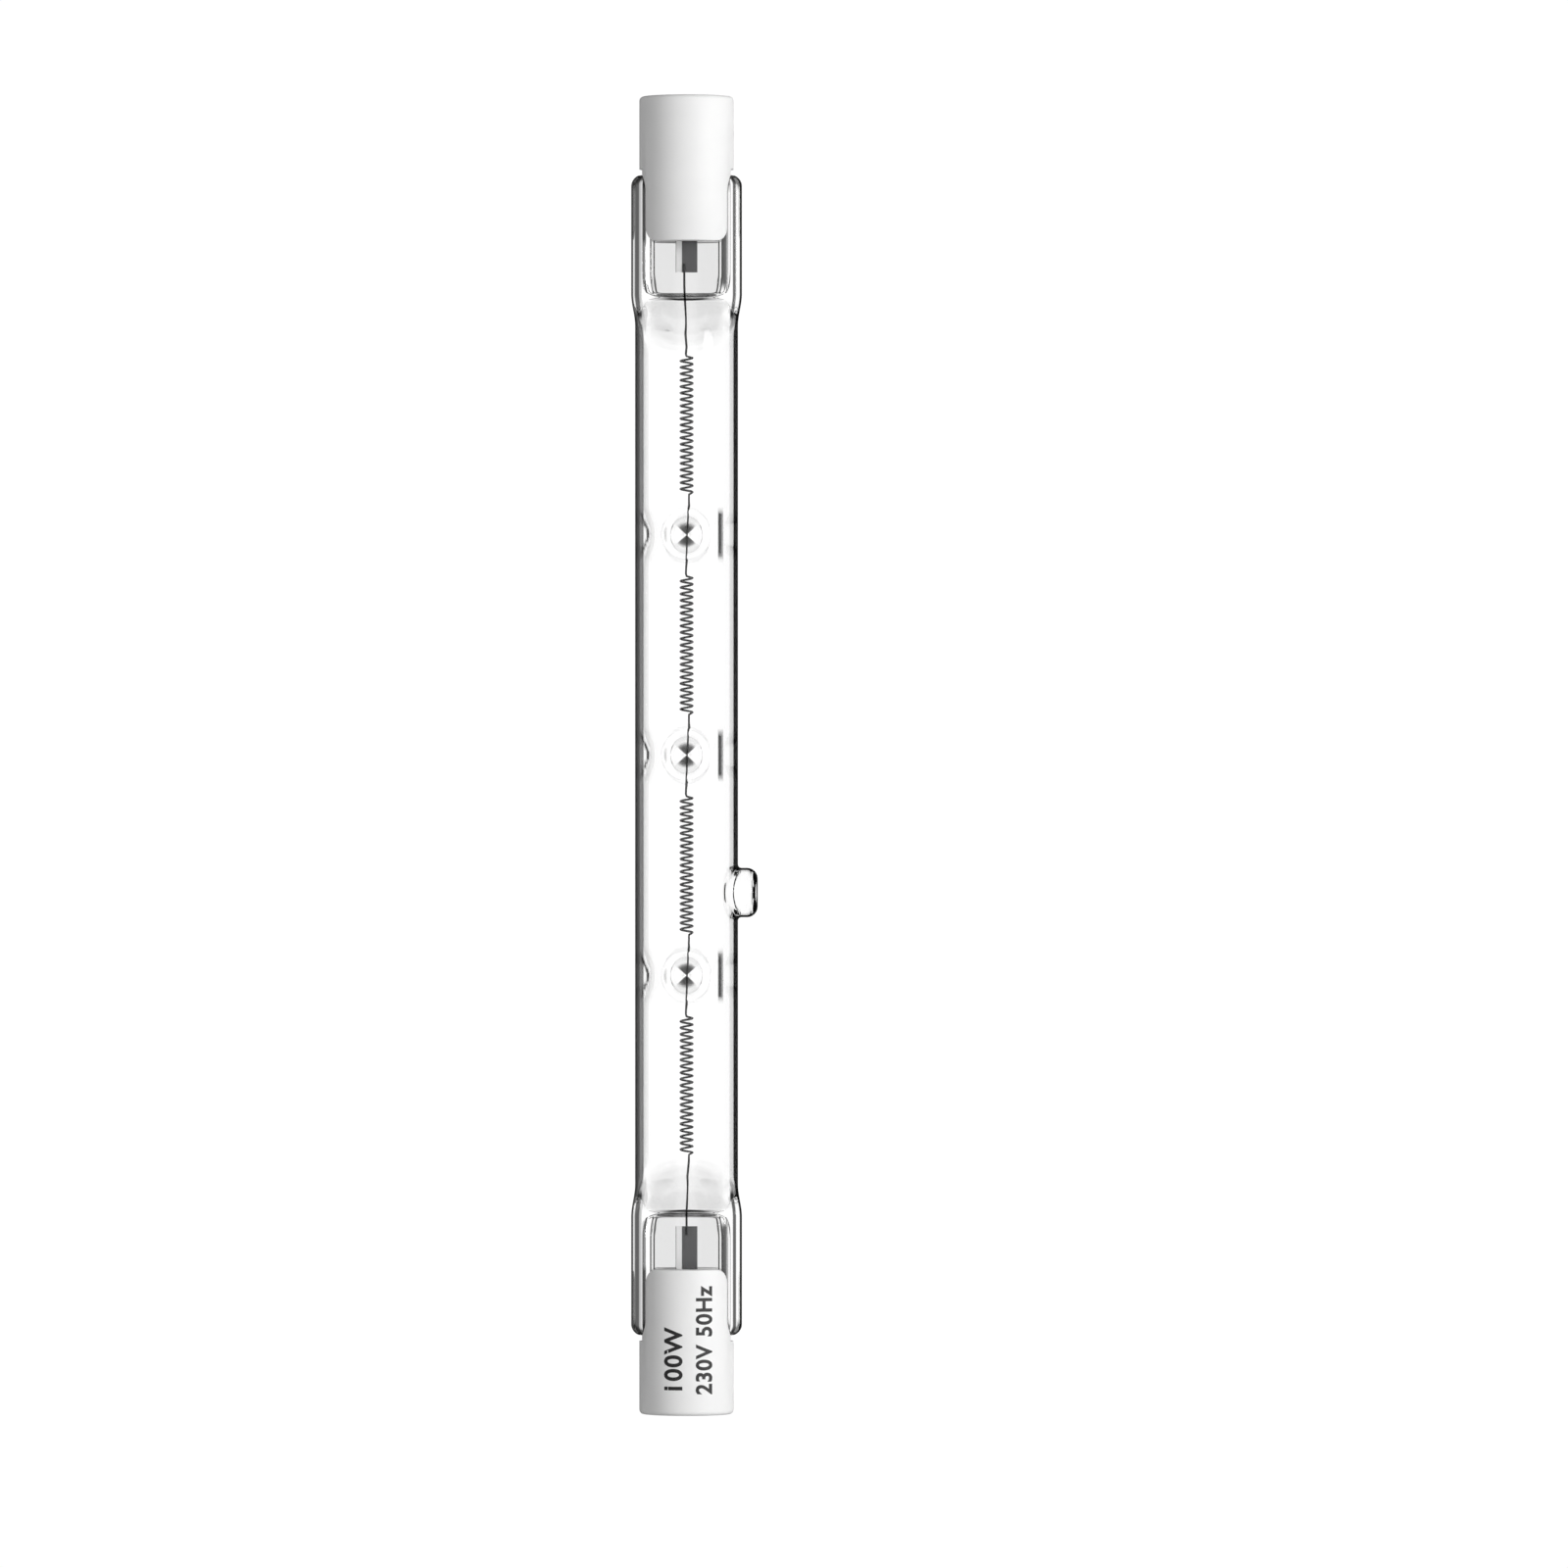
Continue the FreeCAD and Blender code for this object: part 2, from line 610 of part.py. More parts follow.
# Ceramic cap: a round end with a tongue above and a tongue below the pinch
def make_cap(sheet):
    body = document.addObject("PartDesign::Body", "cap")
    circle = body_sketch(body, "cap_circle", "XZ_Plane", f"-{CAP_END}")
    draw_circle(circle, "size.cap_diameter / 2")
    body_feature(body, "PartDesign::Pad", "cap_round", circle, Length="size.cap_length")

    sides = body_sketch(body, "tongue_side_outline", "XY_Plane")
    bend = f"({CAP_END} - size.cap_round_length - size.cap_taper_length)"
    widening = "((size.cap_diameter - size.tongue_width) / 2 / size.cap_taper_length)"
    clear_x = f"size.tongue_width / 2 + {widening} * size.cap_round_length"
    clear_y = f"{CAP_END} - size.cap_taper_length"
    low = f"{TONGUE_END} - {OVERRUN}"
    right = [
        ("size.tongue_width / 2", low),
        ("size.tongue_width / 2", bend),
        (clear_x, clear_y),
        (clear_x, low),
    ]
    draw_polygon(sides, right)
    draw_polygon(sides, [(f"-({x})", y) for x, y in right])
    side_cut = body_feature(body, "PartDesign::Pocket", "tongue_sides", sides)
    side_cut.Type = "ThroughAll"
    side_cut.Midplane = True

    # the slot has the pinch's own section with the cement's gap all round
    slot = body_sketch(body, "slot_section", "XZ_Plane", f"-{SLOT_END}")
    rail = "size.pinch_thickness / 2 + size.cement_gap"
    right = [
        ("size.web_width / 2 - size.cement_gap", "size.web_thickness / 2 + size.cement_gap"),
        ("size.web_mouth_width / 2 - size.cement_gap", rail),
        (f"size.cap_diameter / 2 + {OVERRUN}", rail),
    ]
    left = [(f"-({x})", z) for x, z in reversed(right)]
    draw_polygon(slot, with_mirror_image(left + right))
    bore_in(body, "pinch_slot", slot, "size.cap_length")

    hole = body_sketch(body, "shank_hole_circle", "XZ_Plane", f"-{CAP_END}")
    draw_circle(hole, "size.shank_diameter / 2 + size.contact_clearance")
    bore_in(body, "shank_hole", hole, f"{CAP_END} - {SLOT_END}")

    recess = body_sketch(body, "recess_circle", "XZ_Plane", f"-{CAP_END}")
    draw_circle(recess, "size.recess_diameter / 2")
    bore_in(body, "contact_recess", recess, "size.recess_depth")

    seat = body_sketch(body, "button_seat_circle", "XZ_Plane", f"-{CAP_END}")
    draw_circle(seat, "size.button_diameter / 2 + size.contact_clearance")
    bore_in(body, "button_seat", seat, "size.recess_depth + size.contact_thickness")

    cap_end = sheet.overall_length / 2

    def at_bend(edge):
        y = cap_end - sheet.cap_round_length - sheet.cap_taper_length
        return is_upright(edge) and same(abs(edge.CenterOfMass.y), y)

    def at_tongue_end(edge):
        return is_upright(edge) and same(edge.CenterOfMass.y, cap_end - sheet.cap_length)

    def at_rim(edge):
        return is_circle(edge, sheet.cap_diameter / 2) and same(edge.CenterOfMass.y, cap_end)

    fillet(body, "taper_blend", "size.cap_taper_radius", at_bend)
    fillet(body, "tongue_corners", "size.tongue_corner_radius", at_tongue_end)
    chamfer(body, "cap_rim", "size.cap_edge_bevel", at_rim)
    return body


# Contact: a flat button with a hollow shank, in which the outer lead ends
def make_contact():
    body = document.addObject("PartDesign::Body", "contact")
    disc = body_sketch(body, "button_circle", "XZ_Plane", f"-({CAP_END} - size.recess_depth)")
    draw_circle(disc, "size.button_diameter / 2")
    body_feature(body, "PartDesign::Pad", "button", disc, Length="size.contact_thickness")
    ring = body_sketch(body, "shank_circle", "XZ_Plane", f"-{BUTTON_BACK}")
    draw_circle(ring, "size.shank_diameter / 2")
    body_feature(body, "PartDesign::Pad", "shank", ring, Length="size.shank_length")
    bore_end = f"-({BUTTON_BACK} + size.contact_thickness / 2)"
    bore = body_sketch(body, "shank_bore_circle", "XZ_Plane", bore_end)
    draw_circle(bore, "size.lead_diameter / 2 + size.lead_clearance")
    bore_in(body, "shank_bore", bore, "size.contact_thickness / 2 + size.shank_length")
    return body


# Cement: a bed that fills the gap between the web and the tongues and closes over the pinch's end
def make_cement(pinch_with_web, lead):
    low = f"({TONGUE_END} + size.cement_inset)"
    half = "(size.web_width / 2 - size.cement_gap)"
    block = primitive(
        "Part::Box",
        "cement_block",
        Length=f"2 * {half}",
        Width=f"{SLOT_END} - {low}",
        Height="size.web_thickness + 2 * size.cement_gap",
        Placement__Base__x=f"-{half}",
        Placement__Base__y=low,
        Placement__Base__z="-size.web_thickness / 2 - size.cement_gap",
    )
    return cut("cement", block, fused("cement_hollow", pinch_with_web, lead))


# The lamp as it lies: each finished piece, rolled about the lamp's axis
def laid_down(name, piece):
    turned = document.addObject("Part::Compound", name + "_turned")
    turned.Links = [piece]
    turned.Placement = Placement(Vector(), Rotation(TOP_TO_BOTTOM, 180))
    lying = document.addObject("Part::Compound", name)
    lying.Links = [turned]
    lying.Placement = Placement(Vector(), Rotation(Vector(0, -1, 0), 1))
    bind(lying, Placement__Rotation__Angle=REST_ROLL)
    return lying


def check_and_export(parts):
    """Stops if anything failed, and writes each piece to a STEP file of its own."""
    failed = [o.Name for o in document.Objects if {"Invalid", "Error"} & set(o.State)]
    if failed:
        raise RuntimeError(f"these objects failed: {failed}")
    for part in parts:
        shape = part.Shape
        if shape.isNull() or not shape.isValid() or len(shape.Solids) != 1:
            raise RuntimeError(f"{part.Label} isn't one valid solid")
    os.makedirs("parts", exist_ok=True)
    for part in parts:
        part.Shape.exportStep(f"parts/{part.Label}.step")


def main():
    sheet = fill_sheet()
    foils = [make_foil("a", 1), make_foil("b", -1)]
    leads = [make_lead("a", 1), make_lead("b", -1)]
    channels = [make_leg_channel("a", 1), make_leg_channel("b", -1)]
    pinch = make_pinch(sheet)
    pieces = {
        "glass_envelope": make_envelope(sheet, pinch, foils + leads + channels),
        "filament": make_filament(sheet),
    }
    for end, foil, lead in zip("ab", foils, leads):
        pieces[f"molybdenum_foil_{end}"] = foil
        pieces[f"outer_lead_{end}"] = lead
    end_pieces = {
        "ceramic_cap": make_cap(sheet),
        "contact_button": make_contact(),
        "cement": make_cement(pinch, leads[0]),
    }
    for name, piece in end_pieces.items():
        pieces[name + "_a"] = piece
        pieces[name + "_b"] = mirrored(name + "_at_far_end", piece, END_TO_END)
    lying = [laid_down(name, piece) for name, piece in pieces.items()]
    document.recompute()
    check_and_export(lying)


main()
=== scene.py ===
import math

import bmesh
import bpy
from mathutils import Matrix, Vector


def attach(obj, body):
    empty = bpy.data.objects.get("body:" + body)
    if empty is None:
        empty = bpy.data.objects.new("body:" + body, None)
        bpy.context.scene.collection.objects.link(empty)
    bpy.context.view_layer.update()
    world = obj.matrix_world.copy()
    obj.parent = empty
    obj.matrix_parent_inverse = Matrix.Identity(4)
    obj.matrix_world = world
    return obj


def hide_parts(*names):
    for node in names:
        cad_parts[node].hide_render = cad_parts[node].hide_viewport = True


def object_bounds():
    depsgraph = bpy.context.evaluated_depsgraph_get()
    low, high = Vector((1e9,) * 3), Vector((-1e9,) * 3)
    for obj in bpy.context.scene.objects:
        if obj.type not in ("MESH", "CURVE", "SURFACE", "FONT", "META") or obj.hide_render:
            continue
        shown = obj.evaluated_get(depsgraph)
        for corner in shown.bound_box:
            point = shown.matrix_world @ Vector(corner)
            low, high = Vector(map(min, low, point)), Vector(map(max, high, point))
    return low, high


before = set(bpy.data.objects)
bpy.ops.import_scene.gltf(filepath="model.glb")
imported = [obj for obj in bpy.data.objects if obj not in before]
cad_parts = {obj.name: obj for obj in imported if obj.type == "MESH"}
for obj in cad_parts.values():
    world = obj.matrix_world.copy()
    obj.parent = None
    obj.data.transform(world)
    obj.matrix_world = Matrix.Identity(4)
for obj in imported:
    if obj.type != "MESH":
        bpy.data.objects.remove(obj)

cad_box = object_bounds()

# Camera: a long lens above the lamp, which lies on the floor, rolled until its stub touches. It is
# square to the flat seals, with end a at the top of the picture and the lamp left of the middle.
# Every piece is made in the lamp's own frame, end a at +Y and the stub at +X, and then laid down.
MM = 0.001
TUBE_R = 4.589
STUB_R, STUB_REACH, STUB_BEVEL = 2.205, 6.35, 0.7
REST_ROLL = math.asin(TUBE_R / math.hypot(STUB_REACH - STUB_BEVEL, STUB_R))
REST_ROLL -= math.atan(STUB_R / (STUB_REACH - STUB_BEVEL))
LYING = (0, REST_ROLL, math.pi)
bpy.ops.object.camera_add(rotation=LYING)
camera = bpy.context.object
CAMERA_PLACE = (8.7, -2.57, 1130)
camera.location = camera.rotation_euler.to_matrix() @ Vector(CAMERA_PLACE) * MM
camera.data.sensor_width = 36
camera.data.lens = 290.6
bpy.context.scene.camera = camera
bpy.context.scene.view_settings.view_transform = "Standard"

# Glass envelope: a drawn tube of clear quartz. Its ends are heated and pressed flat on the leads,
# the dimples are poked in with a hot pin and the exhaust tube is fused off to a short stub.
BORE_R, BORE_END = 3.89, 40.6
PINCH_START, PINCH_END, PINCH_HALF, PINCH_TOP = 40.9, 51.79, 4.94, 1.3
WEB_TOP, WEB_HALF, WEB_END, WEB_CORNER = 0.7, 2.88, 41.2, 0.5
WEB_STEPS = ((1.02, 0.76, 0.45), (0.74, 0.36, 0.04), (0.36, 0.26, 0.1), (0.06, 0, 0.04))
DIMPLES = (19.65, 0, -19.65)
DIMPLE_SLOPE = 2.08
STUB_Y, STUB_BORE_R, STUB_BORE_END = -12.26, 1.8, 5.3
STUB_ROUNDING = 0.95
PRESSED_SLOPE, BORE_SLOPE = 1.134, 1.003
OUTER_HOLE, INNER_HOLE = 2.7, 2.55
AROUND = 80
PATH_ANGLES = {360 * i / AROUND for i in range(AROUND)}
for start, end, _ in WEB_STEPS:
    for line in (start + 0.05, start, end, end - 0.05):
        angle = math.degrees(math.acos((WEB_HALF + line) / PINCH_HALF))
        PATH_ANGLES |= {angle, 180 - angle, 180 + angle, 360 - angle}
PATH_ANGLES = sorted(PATH_ANGLES)


def lower_of(a, b, rounding):
    """The lower of two heights, with the corner between them rounded."""
    h = max(rounding - abs(a - b), 0) / rounding
    return min(a, b) - h * h * rounding / 4


def upper_of(a, b, rounding):
    """The upper of two heights, with the corner between them rounded."""
    return -lower_of(-a, -b, rounding)


def ease(value, start, end):
    """Goes smoothly from 0 at start to 1 at end."""
    t = min(max((value - start) / (end - start), 0), 1)
    return t * t * (3 - 2 * t)


def arc(t):
    """Falls from 1 to 0 on a quarter circle as t goes from 0 to 1."""
    return math.sqrt(max(1 - min(max(t, 0), 1) ** 2, 0))


def tube_half_width(y):
    flare = (PINCH_HALF - TUBE_R) * ease(abs(y), PINCH_START - 2.6, PINCH_START + 0.3)
    return TUBE_R + flare - (1 - arc((abs(y) - PINCH_END + 1) / 1))


def from_web(x, y):
    """How far a place is outside the flat web of its recess, in plan."""
    narrowing = 0.5 * (1 - arc((PINCH_START + 2.3 - abs(y)) / 2.3))
    side = abs(x) + narrowing - WEB_HALF + WEB_CORNER
    end = (WEB_END - abs(y)) * 3 + WEB_CORNER
    return math.hypot(max(side, 0), max(end, 0)) + min(max(side, end), 0) - WEB_CORNER


def recess_height(x, y):
    """Height of a web and of the steps that lead out of its recess."""
    reach = from_web(x, y)
    rise = sum(drop * ease(reach, end, start) for start, end, drop in WEB_STEPS)
    return WEB_TOP + rise + max(reach - WEB_STEPS[0][0], 0) * 2


def tube_height(x, y):
    """Height of the outside above the lamp's middle plane."""
    away = abs(y)
    width = tube_half_width(y)
    height = TUBE_R * math.sqrt(max(1 - (x / TUBE_R) ** 2, 0))
    if away > PINCH_START - 6:
        pressed = lower_of(height, max(PINCH_TOP + (PINCH_START - away) * PRESSED_SLOPE, 0), 0.6)
        sunk = min(height, 1.2 + (height - 1.2) * ease(away, 41.2, 37.2))
        height = pressed + (sunk - pressed) * ease(abs(x), 1.6, 3.4)
        inset = min(width - abs(x), 1)
        bar = (0.3 + math.sqrt(max(1 - (1 - inset) ** 2, 0))) * ease(away, 36.5, 38.6)
        height = upper_of(height, bar, 0.1)
    if away > PINCH_START - 1:
        height = lower_of(height, recess_height(x, y), 0.1)
    for spot in DIMPLES:
        if abs(y - spot) < 4 and abs(x) < 4:
            dent = 0.55 + DIMPLE_SLOPE * (math.hypot(x, y - spot, 0.2) - 0.2)
            height = lower_of(height, dent, 0.7)
    return height * arc((away - PINCH_END + 0.9) / 0.9)


def bore_half_width(y):
    away = abs(y)
    width = BORE_R - 0.6 * (1 - arc((away - BORE_END + 3.2) / 3.2))
    for spot in DIMPLES:
        width -= 0.35 * math.exp(-(((y - spot) / 1.5) ** 2))
    return width


def bore_height(x, y):
    """Height of the bore's wall above the lamp's middle plane."""
    width = bore_half_width(y)
    crown = lower_of(BORE_R, 0.08 + (PINCH_START - 0.3 - abs(y)) * BORE_SLOPE, 1.2)
    height = crown * max(1 - (x / width) ** 2, 0) ** (0.5 + 0.5 * ease(abs(y), 37.5, 39.5))
    for spot in DIMPLES:
        if abs(y - spot) < 4 and abs(x) < 4:
            bulge = 0.12 + DIMPLE_SLOPE * (math.hypot(x, y - spot, 0.49) - 0.49)
            height = lower_of(height, bulge, 0.7)
    return height * arc((abs(y) - BORE_END + 0.5) / 0.5)


def stations(end, steps):
    """Places of the rings along the glass: close together where the shape changes."""
    marks = {0.0}
    y = 0
    while y < end - 0.001:
        near_dimple = min(abs(y - spot) for spot in DIMPLES if spot >= 0) < 3.7
        near_stub = abs(y + STUB_Y) < 3.8
        step = 0.34 if near_dimple or near_stub else 1.2
        for start, fine in steps:
            step = fine if y >= start else step
        y = min(y + step, end)
        marks |= {y, -y}
    return sorted(marks)


def roll_up(name, half_width, height, rings):
    """Rolls a grid up along the lamp, so that its rows are the rings."""
    bpy.ops.object.select_all(action="DESELECT")
    columns = len(PATH_ANGLES)
    bpy.ops.mesh.primitive_grid_add(x_subdivisions=columns, y_subdivisions=len(rings) - 1, size=1)
    shell = bpy.context.object
    shell.name = name
    for vertex in shell.data.vertices:
        angle = PATH_ANGLES[round((vertex.co.x + 0.5) * columns) % columns]
        y = rings[round((vertex.co.y + 0.5) * (len(rings) - 1))]
        x = half_width(y) * math.cos(math.radians(angle))
        side = 0 if angle % 180 == 0 else math.copysign(1, 180 - angle)
        vertex.co = Vector((x, y, side * height(x, y))) * MM
    bpy.ops.object.mode_set(mode="EDIT")
    bpy.ops.mesh.select_all(action="SELECT")
    bpy.ops.mesh.remove_doubles(threshold=1e-6)
    bpy.ops.object.mode_set(mode="OBJECT")
    return shell


def open_hole(shell, inside):
    """Deletes the faces whose middles pass the test and selects the rim of the hole."""
    bpy.ops.object.mode_set(mode="EDIT")
    bpy.ops.mesh.select_mode(type="FACE")
    bpy.ops.mesh.select_all(action="DESELECT")
    mesh = bmesh.from_edit_mesh(shell.data)
    for face in mesh.faces:
        face.select = inside(face.calc_center_median() / MM)
    bmesh.update_edit_mesh(shell.data)
    bpy.ops.mesh.delete(type="FACE")
    bpy.ops.mesh.select_mode(type="EDGE")
    bpy.ops.mesh.select_non_manifold()


def draw_in(shell, rings):
    """Extrudes the selected rim once for each ring, which moves the new points, and closes it."""
    for place in rings:
        bpy.ops.mesh.extrude_edges_move()
        mesh = bmesh.from_edit_mesh(shell.data)
        for vertex in mesh.verts:
            if vertex.select:
                vertex.co = place(vertex.co / MM) * MM
        bmesh.update_edit_mesh(shell.data)
    bpy.ops.mesh.merge(type="CENTER")
    bpy.ops.object.mode_set(mode="OBJECT")


def poke(shell, spot, side, reach, height):
    """Shapes one dimple of a shell with rings about its own axis."""

    def ring(radius, share=1):
        def place(point):
            now = math.hypot(point.x, point.y - spot)
            scale = (now + (radius - now) * share) / now
            x, y = point.x * scale, spot + (point.y - spot) * scale
            return Vector((x, y, side * height(x, y)))

        return place

    open_hole(
        shell,
        lambda c: abs(c.x) < reach and abs(c.y - spot) < 2.55 and c.z * side > 0,
    )
    radii = [2.2 - 0.1 * i for i in range(19)] + [0.32, 0.24, 0.16, 0.08]
    draw_in(shell, [ring(2.3, 0.5)] + [ring(radius) for radius in radii])


def tip_off(shell, wall_r, reach, steps):
    """Draws the stub out of a shell's right side. A step is a radius, a rise and where the rise
    starts: True at the wall, False at the axis, None at the wall and half way to the radius."""

    def ring(radius, rise, from_wall):
        def place(point):
            now = math.hypot(point.y - STUB_Y, point.z)
            wanted = (now + radius) / 2 if from_wall is None else radius
            y, z = STUB_Y + (point.y - STUB_Y) * wanted / now, point.z * wanted / now
            wall = math.sqrt(wall_r**2 - z**2)
            return Vector((rise if from_wall is False else wall + rise, y, z))

        return place

    open_hole(
        shell,
        lambda c: c.x > 0 and abs(c.z) < reach and abs(c.y - STUB_Y) < reach,
    )
    draw_in(shell, [ring(*step) for step in steps])


def face_out(shell, outwards):
    """Makes all the faces of a closed shell point outwards, or into the hollow that it bounds."""
    bpy.ops.object.mode_set(mode="EDIT")
    bpy.ops.mesh.select_all(action="SELECT")
    bpy.ops.mesh.normals_make_consistent(inside=False)
    mesh = bmesh.from_edit_mesh(shell.data)
    if (mesh.calc_volume(signed=True) > 0) != outwards:
        bpy.ops.mesh.flip_normals()
    bpy.ops.object.mode_set(mode="OBJECT")


def lay_down(piece):
    """Turns a finished piece end for end and rolls it on to the stub."""
    bpy.ops.object.select_all(action="DESELECT")
    piece.select_set(True)
    bpy.context.view_layer.objects.active = piece
    piece.rotation_euler = LYING
    bpy.ops.object.transform_apply(location=True, rotation=True, scale=True)


ring_steps = [(36, 0.2), (40.2, 0.06), (41.6, 0.25), (43.4, 0.6)]
ring_steps += [(45.5, 0.08), (46, 0.6), (50.5, 0.1)]
outside_rings = stations(PINCH_END, ring_steps)
glass = roll_up("quartz_glass", tube_half_width, tube_height, outside_rings)
for spot in DIMPLES:
    poke(glass, spot, 1, OUTER_HOLE, tube_height)
    poke(glass, spot, -1, OUTER_HOLE, tube_height)
outer_stub = [(2.55, 0, None), (2.5, 0, True), (2.36, 0.04, True)]
outer_stub += [(2.26, 0.12, True), (2.21, 0.25, True)]
outer_stub += [(STUB_R, 4.9, False), (STUB_R, STUB_REACH - STUB_ROUNDING, False)]
for i in range(1, 7):
    turn = math.radians(15 * i)
    inset, rise = STUB_ROUNDING * (1 - math.cos(turn)), STUB_ROUNDING * (math.sin(turn) - 1)
    outer_stub.append((STUB_R - inset, STUB_REACH + rise, False))
outer_stub += [(0.9, STUB_REACH, False), (0.4, STUB_REACH, False)]
tip_off(glass, TUBE_R, 2.7, outer_stub)
face_out(glass, True)

bore_rings = stations(BORE_END, ((34, 0.25), (39.6, 0.12)))
bore = roll_up("bore", bore_half_width, bore_height, bore_rings)
for spot in DIMPLES:
    poke(bore, spot, 1, INNER_HOLE, bore_height)
    poke(bore, spot, -1, INNER_HOLE, bore_height)
inner_stub = [(2.1, 0, None), (2.05, 0, True), (1.92, 0.05, True)]
inner_stub += [(1.84, 0.15, True), (STUB_BORE_R, 0.35, True)]
inner_stub += [(STUB_BORE_R, 4.9, False), (STUB_BORE_R, STUB_BORE_END, False)]
for i in range(1, 7):
    turn = math.radians(15 * i)
    inset, rise = 0.5 * (1 - math.cos(turn)), 0.45 * math.sin(turn)
    inner_stub.append((STUB_BORE_R - inset, STUB_BORE_END + rise, False))
inner_stub.append((0.7, 5.75, False))
tip_off(bore, BORE_R, 2.4, inner_stub)
face_out(bore, False)


def store_painted_shade(shell):
    """Stores at each point the data for the glass's painted shade: how much a glancing view darkens
    it, its place across the lamp, its distance from the web, and the light that passes in the
    folds, painted as shade. The folds are set to look from the front as the photo does."""
    painted_shade_data = shell.data.attributes.new("painted_shade_data", "FLOAT_COLOR", "POINT")
    for vertex, value in zip(shell.data.vertices, painted_shade_data.data):
        x, y, z = (length / MM for length in vertex.co)
        away, beside = abs(y), abs(x)
        # painted shade at the end of the pinch and its corners
        painted_shade = 1 - 0.98 * ease(away, 51.5, 51.6)
        corner = away + 0.9 * (beside - PINCH_HALF)
        painted_shade -= 0.95 * ease(corner, 50.3, 50.55) * ease(beside, 3.8, 4.0)
        # painted dark lines at the end of the web and where the bore ends
        painted_shade -= 0.95 * ease(away, 40.9, 40.98) * ease(away, 41.2, 41.12) * ease(beside, 2.75, 2.55)
        painted_shade -= ease(away, 40.5, 40.58) * ease(away, 40.82, 40.74) * ease(beside, 3.3, 1.0)
        # painted grey shade in the bowl of the flare
        bowl = ease(away - 0.11 * x * x, 38.0, 38.5) * ease(away, 40.5, 40.3)
        flank = ease(away - 0.3 * beside, 36.2, 36.7)
        painted_shade -= 0.09 * bowl
        painted_shade -= 0.05 * flank * ease(beside, 0.6, 1.4) * ease(beside, 3.3, 2.9)
        # a painted shadow line at the cap's tongue's end, and a painted dark band along each side
        # of the web
        painted_shade -= 0.95 * ease(away, 45.7, 45.76) * ease(away, 45.86, 45.8) * ease(beside, 2.9, 2.8)
        painted_shade -= 0.9 * ease(away, 41.4, 42.2) * ease(x, 3.16, 3.28) * ease(x, 3.7, 3.56)
        painted_shade -= 0.95 * ease(away, 45.7, 45.9) * ease(x, -3.95, -3.88) * ease(x, -3.6, -3.68)
        rim = 1
        for spot in DIMPLES:
            # painted dark fans inside a dimple, and painted dark strokes beside it on the upper
            # side
            reach = math.hypot(x, y - spot)
            rim *= ease(reach, 2.5, 2.9)
            fan = ease(abs(y - spot) - 0.9 * beside, -0.06, 0.12)
            painted_shade -= 0.75 * fan * ease(reach, 1.25, 0.95)
            along = (y - spot) / 2.6
            bulge = -4.25 + 0.85 * math.exp(-(along**2) * 3)
            dark = ease(abs(x - 3.05), 0.3, 0.16) + ease(abs(x - bulge), 0.2, 0.1)
            if z > 0 and math.hypot(x, z) > BORE_R + 0.3:
                painted_shade -= dark * ease(abs(along), 0.95, 0.7)
        across = x / tube_half_width(y) * PINCH_HALF
        value.color = (rim, (across + 5) / 10, (from_web(x, y) + 0.5) / 2, max(painted_shade, 0.005))


def add_ramp(nodes, stops, low=0, high=1):
    """Adds a ramp of greys. A stop is a place between low and high, and the light passed there."""
    ramp = nodes.new("ShaderNodeValToRGB")
    elements = ramp.color_ramp.elements
    elements.remove(elements[1])
    for position, passed in stops:
        element = elements.new((position - low) / (high - low))
        element.color = (passed, passed, passed, 1)
    elements.remove(elements[0])
    return ramp


